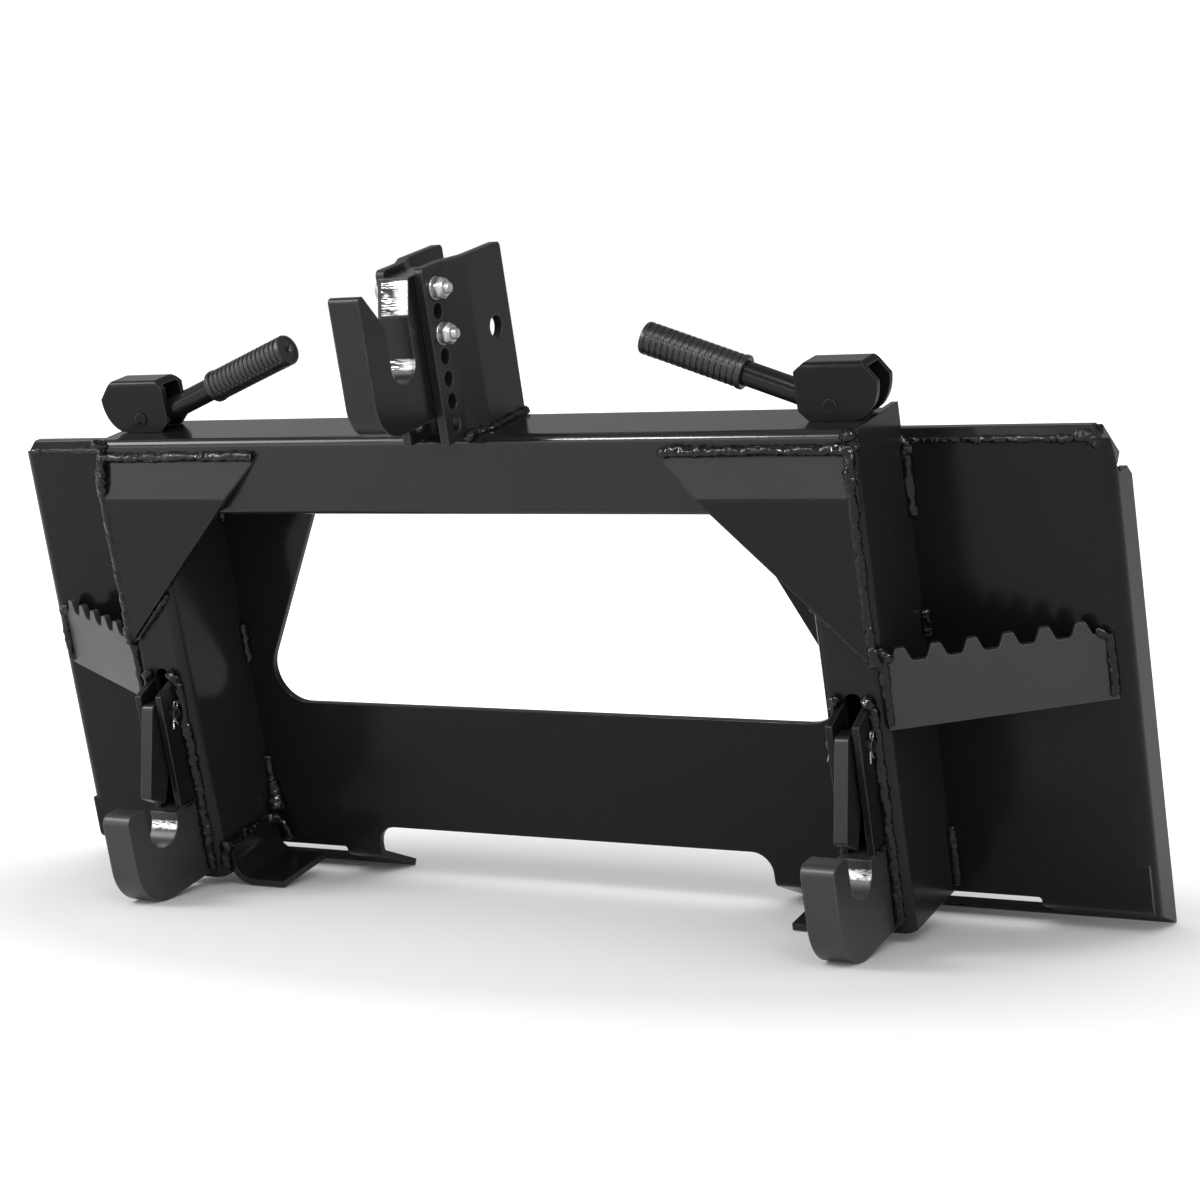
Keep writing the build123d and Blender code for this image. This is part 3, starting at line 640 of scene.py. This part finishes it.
for side, k in side_of.items():
    halves = []
    for out in (-1, 1):
        route = []
        for across, along in split_pin:
            aside = out * max(0, legs_part_at - along) * legs_part_by
            route.append((
                k * latch_pivot.x * 1000 + out * split_pin_out + aside,
                latch_pivot.y * 1000 + across * cos(split_pin_turn) + along * sin(split_pin_turn),
                latch_pivot.z * 1000 - across * sin(split_pin_turn) + along * cos(split_pin_turn),
            ))
        halves.append(bent_wire(route, wire_radius))
    cotter = join_all(halves)
    cotter.data.materials.append(dull_zinc)
    settle(cotter, f"split_pins_{side}")
    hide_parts(f"latch_cotters_{side}")

# Cam levers
# Heads folded from 5 mm plate, whose round outer corner is the cam, and a round handle welded
# between the cheeks. The pull rod hangs on the pin through the head.
finish_nodes(black_paint("lever_paint", 0.009, 0.1, 0.15, level=0.15), *pair("lever_head"))
finish_nodes(black_paint("handle_paint", 0.008, 0.06, 0.15, level=0.26), *pair("lever_handle"))
# The pin end's rim is lightened by the edge mask: a painted highlight round it, and wear.
lever_pin_paint = black_paint("lever_pin_paint", 0.004, 0.16, 0.06, level=0.16, edge_width=0.0012)
finish_nodes(lever_pin_paint, *pair("lever_pin"))
finish_nodes(black_paint("rod_paint", 0.012, 0.08, 0.25), *pair("pull_rod"))

# Rubber grips
# Moulded sleeves pushed on the handles, with a collar, fifteen rings, two lengthwise ribs and
# a closed end with a small six-sided hole.


def turned(profile, sides=40):
    """Round piece turned along Z through radius and height pairs in millimetres."""
    radius, height = profile[0]
    bpy.ops.object.select_all(action="DESELECT")
    bpy.ops.mesh.primitive_circle_add(vertices=sides, radius=radius / 1000, fill_type="NGON",
                                      location=(0, 0, height / 1000))
    piece = bpy.context.object
    bpy.ops.object.transform_apply(location=True, rotation=True, scale=True)
    bpy.ops.object.mode_set(mode="EDIT")
    bpy.ops.mesh.select_all(action="SELECT")
    for new_radius, new_height in profile[1:]:
        rise = (0, 0, (new_height - height) / 1000)
        bpy.ops.mesh.extrude_region_move(TRANSFORM_OT_translate={"value": rise})
        ratio = new_radius / radius
        bpy.ops.transform.resize(value=(ratio, ratio, 1), center_override=(0, 0, 0))
        radius, height = new_radius, new_height
    bpy.ops.mesh.select_all(action="SELECT")
    bpy.ops.mesh.normals_make_consistent(inside=False)
    bpy.ops.object.mode_set(mode="OBJECT")
    bpy.ops.object.shade_smooth_by_angle(angle=radians(35))
    return piece


def put(piece, turn, place):
    """Turns a piece by a matrix and moves it to its upright place in millimetres."""
    piece.matrix_world = Matrix.Translation(Vector(place) / 1000) @ turn.to_4x4()
    pick(piece)
    bpy.ops.object.transform_apply(location=True, rotation=True, scale=True)
    return piece


rubber, tree, skin = new_material("grip_rubber")
skin.inputs["Specular IOR Level"].default_value = 0.5
sprayed = place_group(tree, spray, Ripple=1.0, Flow=0.4, Smear=0.15)
# The rings' edges are lightened by the edge mask: wear, and a painted highlight on edges that catch light.
edges = place_group(tree, edge_wear_and_highlight, Width=0.0004, Amount=2.6)
lit_worn_edges = mixed(tree, edges.outputs["Mask"], (0.008, 0.008, 0.008), (0.2, 0.2, 0.2))
tree.links.new(lit_worn_edges, skin.inputs["Base Color"])
tree.links.new(maths(tree, "ADD", sprayed.outputs["Roughness"], 0.3), skin.inputs["Roughness"])
lay_skin(tree, skin, sprayed, edges, 0.5, 0.0002)

handle_angle = radians(20.2)
handle_below = 4
grip_start, grip_length = 84, 96
ring_count, ring_pitch, ring_width = 15, 5.6, 3.9
ring_radius, core_radius, collar_radius, collar_length = 14.3, 12.8, 15, 5
rib_turn = {"right": radians(24), "left": radians(37)}
rib_depth, rib_width, rib_middle = 3.4, 2.6, 12.3
end_hole_corner, end_hole_depth = 3.2, 6

for side, k in side_of.items():
    profile = [(collar_radius - 1, 0), (collar_radius, 0.8), (collar_radius, collar_length - 0.8),
               (collar_radius - 0.8, collar_length), (core_radius, collar_length)]
    for ring in range(ring_count):
        low = collar_length + 2 + ring * ring_pitch
        profile += [(core_radius, low), (ring_radius - 0.5, low + 0.1), (ring_radius, low + 0.6),
                    (ring_radius, low + ring_width - 0.6), (ring_radius - 0.5, low + ring_width - 0.1),
                    (core_radius, low + ring_width)]
    profile += [(core_radius, grip_length - 4.2), (ring_radius, grip_length - 4),
                (ring_radius, grip_length - 1.6), (ring_radius - 0.6, grip_length - 0.4),
                (ring_radius - 1.8, grip_length), (ring_radius - 3.2, grip_length - 0.6)]
    sleeve = turned(profile)
    hexagon = turned([(end_hole_corner, grip_length - end_hole_depth),
                      (end_hole_corner, grip_length + 2)], 6)
    apply_modifier(sleeve, "BOOLEAN", operation="DIFFERENCE", object=hexagon)
    bpy.data.objects.remove(hexagon)
    ribs = []
    for half in (0, 1):
        around = rib_turn[side] + half * tau / 2
        bpy.ops.object.select_all(action="DESELECT")
        bpy.ops.mesh.primitive_cube_add(size=1)
        rib = bpy.context.object
        rib.scale = (rib_depth / 1000, rib_width / 1000, (grip_length - collar_length - 2) / 1000)
        rib.rotation_euler = (0, 0, around)
        rib.location = (rib_middle / 1000 * cos(around), rib_middle / 1000 * sin(around),
                        (grip_length + collar_length) / 2000)
        bpy.ops.object.transform_apply(location=True, rotation=True, scale=True)
        apply_modifier(rib, "BEVEL", width=0.0008, segments=2)
        ribs.append(rib)
    grip = join_all([sleeve, *ribs])
    hinge = joints[f"cam_lever_{side}_hinge"]["pos_m"]
    pin = (leaning.inverted() @ (Vector(hinge) - standing)) * 1000
    inward = Vector((-k * cos(handle_angle), 0, sin(handle_angle)))
    above = Vector((k * sin(handle_angle), 0, cos(handle_angle)))
    turn = Matrix((Vector((0, -1, 0)), k * above, inward)).transposed()
    put(grip, turn, pin - above * handle_below + inward * grip_start)
    grip.data.materials.clear()
    grip.data.materials.append(rubber)
    settle(grip, f"ribbed_grip_{side}", f"cam_lever_{side}")
    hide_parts(f"lever_grip_{side}")

# Mast bracket
# Two 8 mm cheeks, joggled so that their front halves clamp the hook, with a row of holes for
# its bolts. They are welded on the beam.
mast_foot, cheek_outside, cheek_back = 445.5, 35, 83
mast_paint = black_paint("mast_paint", 0.011, 0.09, 0.4, ripple=0.2, level=0.33, edge_width=0.0022)
finish_nodes(mast_paint, *pair("mast_cheek"))
for side, k in side_of.items():
    weld_beads(f"mast_weld_{side}", [
        ((k * 25, 2, mast_foot), (k * cheek_outside, 24, mast_foot), 1.15),
        ((k * cheek_outside, 24, mast_foot), (k * cheek_outside, 78, mast_foot)),
        ((k * 35.5, 76, 446), (k * 34, 83, 446), 1.2),
        ((k * 33, cheek_back, mast_foot), (k * 26, cheek_back, mast_foot)),
        ((k * 24, -2, 443), (k * 26, 4, 445), 1.3),
    ], 7.5, lumps=0.0036)

# Top hook
# 30 mm plate, flame cut, with a deep seat whose glossy paint catches light in a band, painted here as
# bright steel, and a lead-in behind it coloured bright steel with dark scratches.
flare_low, flare_high, flare_slope, flare_foot = 0.561, 0.5905, 9 / 32, -0.0484
top_hook_paint = black_paint("top_hook_paint", 0.009, 0.12, 0.22, ripple=0.2, level=0.33, edge_width=0.0024)
tree = top_hook_paint.node_tree
here = place_group(tree, drawn)
above_foot = maths(tree, "SUBTRACT", here.outputs["Height"], flare_low)
flare_back = maths(tree, "ADD", maths(tree, "MULTIPLY", above_foot, flare_slope), flare_foot)
past_flare = maths(tree, "SUBTRACT", here.outputs["Back"], flare_back)
bright_lead_in = maths(tree, "MULTIPLY", ranged(tree, past_flare, 0.0003, 0.0006, 1.0, 0.0),
                 maths(tree, "GREATER_THAN", past_flare, -0.006))
ragged = maths(tree, "MULTIPLY", maths(tree, "SUBTRACT", noise_on(tree, 400.0), 0.5), 0.0016)
edge_height = maths(tree, "ADD", here.outputs["Height"], ragged)
above_low = ranged(tree, edge_height, flare_low + 0.0015, flare_low + 0.0025)
bright_lead_in = maths(tree, "MULTIPLY", bright_lead_in, above_low)
below_top = ranged(tree, edge_height, flare_high, flare_high + 0.0007, 1.0, 0.0)
bright_lead_in = maths(tree, "MULTIPLY", bright_lead_in, below_top)
from_left = maths(tree, "ADD", here.outputs["Across"], ragged)
bright_lead_in = maths(tree, "MULTIPLY", bright_lead_in, ranged(tree, from_left, -0.0118, -0.0112))
seat_highlight_mask = seat_highlight_band(tree, -0.0664, 0.526, 0.018, -0.001, 0.008)
scored = ranged(tree, noise_on(tree, 760.0, 4.0, (0.14, 1.0, 1.0)), 0.42, 0.51)
fading = ranged(tree, here.outputs["Across"], -0.001, 0.009, 1.0, 0.45)
scored = maths(tree, "MULTIPLY", scored, fading)
# The lead-in face is coloured bright steel with scratches that fade to the right. The seat's bright band is
# a painted highlight.
bright_steel_patch(top_hook_paint, maths(tree, "MAXIMUM", bright_lead_in, seat_highlight_mask), scored)
finish_nodes(top_hook_paint, "top_hook")

# Bolts, nuts and washers of the top hook
# Two 10 mm bolts with lock nuts and flat washers, zinc plated, through two of the seven holes.
beam_top, first_hole, hole_pitch = 444, 15.3, 19.75
bolt_place_y = -14
bolt_rows = [beam_top + first_hole + row * hole_pitch for row in (4, 6)]
cheek_gap, cheek_thickness = 15.3, 8
washer_face = cheek_gap + cheek_thickness
washer_thickness = 2
bolt_radius, head_height, nut_height, tip_height = 5, 6.4, 7.8, 14
across_x = Matrix.Rotation(tau / 4, 3, "Y")


def chamfered_hexagon(low, high, both_ends):
    """Hexagon of 17 mm across flats whose corners are turned off as on a real nut."""
    half_flats, chamfer = 8.5, 1.1
    corner = half_flats / cos(tau / 12)
    face = half_flats - 0.1
    prism = turned([(corner, low), (corner, high)], 6)
    start = [(face, low), (corner + 0.2, low + chamfer)] if both_ends else [(corner + 0.2, low)]
    blank = turned([*start, (corner + 0.2, high - chamfer), (face, high)], 60)
    apply_modifier(prism, "BOOLEAN", operation="INTERSECT", object=blank)
    bpy.data.objects.remove(blank)
    return prism


def thread(radius, low, high, pitch=1.5, depth=0.55):
    """Bolt end with thread ridges and a chamfered tip."""
    profile = [(radius - depth, low)]
    height = low
    while height + pitch < high - 0.8:
        profile += [(radius, height + pitch * 0.5), (radius - depth, height + pitch)]
        height += pitch
    return turned(profile + [(radius - 0.4, high - 0.8), (radius - 1.2, high)], 24)


bolts, nuts, washers = [], [], []
for row, height in enumerate(bolt_rows):
    spin = across_x @ Matrix.Rotation(tau / 12 + row * 0.12, 3, "Z")
    for k in (-1, 1):
        disc = turned([(9.7, 0), (10, 0.3), (10, 1.7), (9.7, 2)])
        washers.append(put(disc, across_x, (k * (washer_face + 1) - 1, bolt_place_y, height)))
    nut_low = washer_face + washer_thickness
    hexagon = chamfered_hexagon(0, nut_height, True)
    collar = turned([(7.9, 7.4), (7.9, 8.6), (7.4, 9.5), (6.2, 10), (5.2, 10), (5.0, 9.2)])
    nuts.append(put(join_all([hexagon, collar]), spin, (nut_low, bolt_place_y, height)))
    tip = thread(bolt_radius, 8, tip_height)
    bolts.append(put(tip, across_x, (nut_low, bolt_place_y, height)))
    shank = turned([(bolt_radius, 0), (bolt_radius, 2 * nut_low)], 24)
    bolts.append(put(shank, across_x, (-nut_low, bolt_place_y, height)))
    head = chamfered_hexagon(0, head_height, False)
    head_turn = Matrix.Rotation(-tau / 4, 3, "Y") @ Matrix.Rotation(tau / 12, 3, "Z")
    bolts.append(put(head, head_turn, (-nut_low, bolt_place_y, height)))

bolt_zinc = zinc("bolt_zinc", (0.72, 0.72, 0.72), 0.22)
for pieces, name, node, slot in (
    (bolts, "threaded_bolts", "hook_bolts", "zinc, bolts"),
    (nuts, "lock_nuts", "hook_nuts", "zinc, nuts"),
    (washers, "flat_washers", "hook_washers", "zinc, washers"),
):
    joined = join_all(pieces)
    joined.data.materials.clear()
    joined.data.materials.append(bolt_zinc)
    settle(joined, name)
    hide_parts(node)
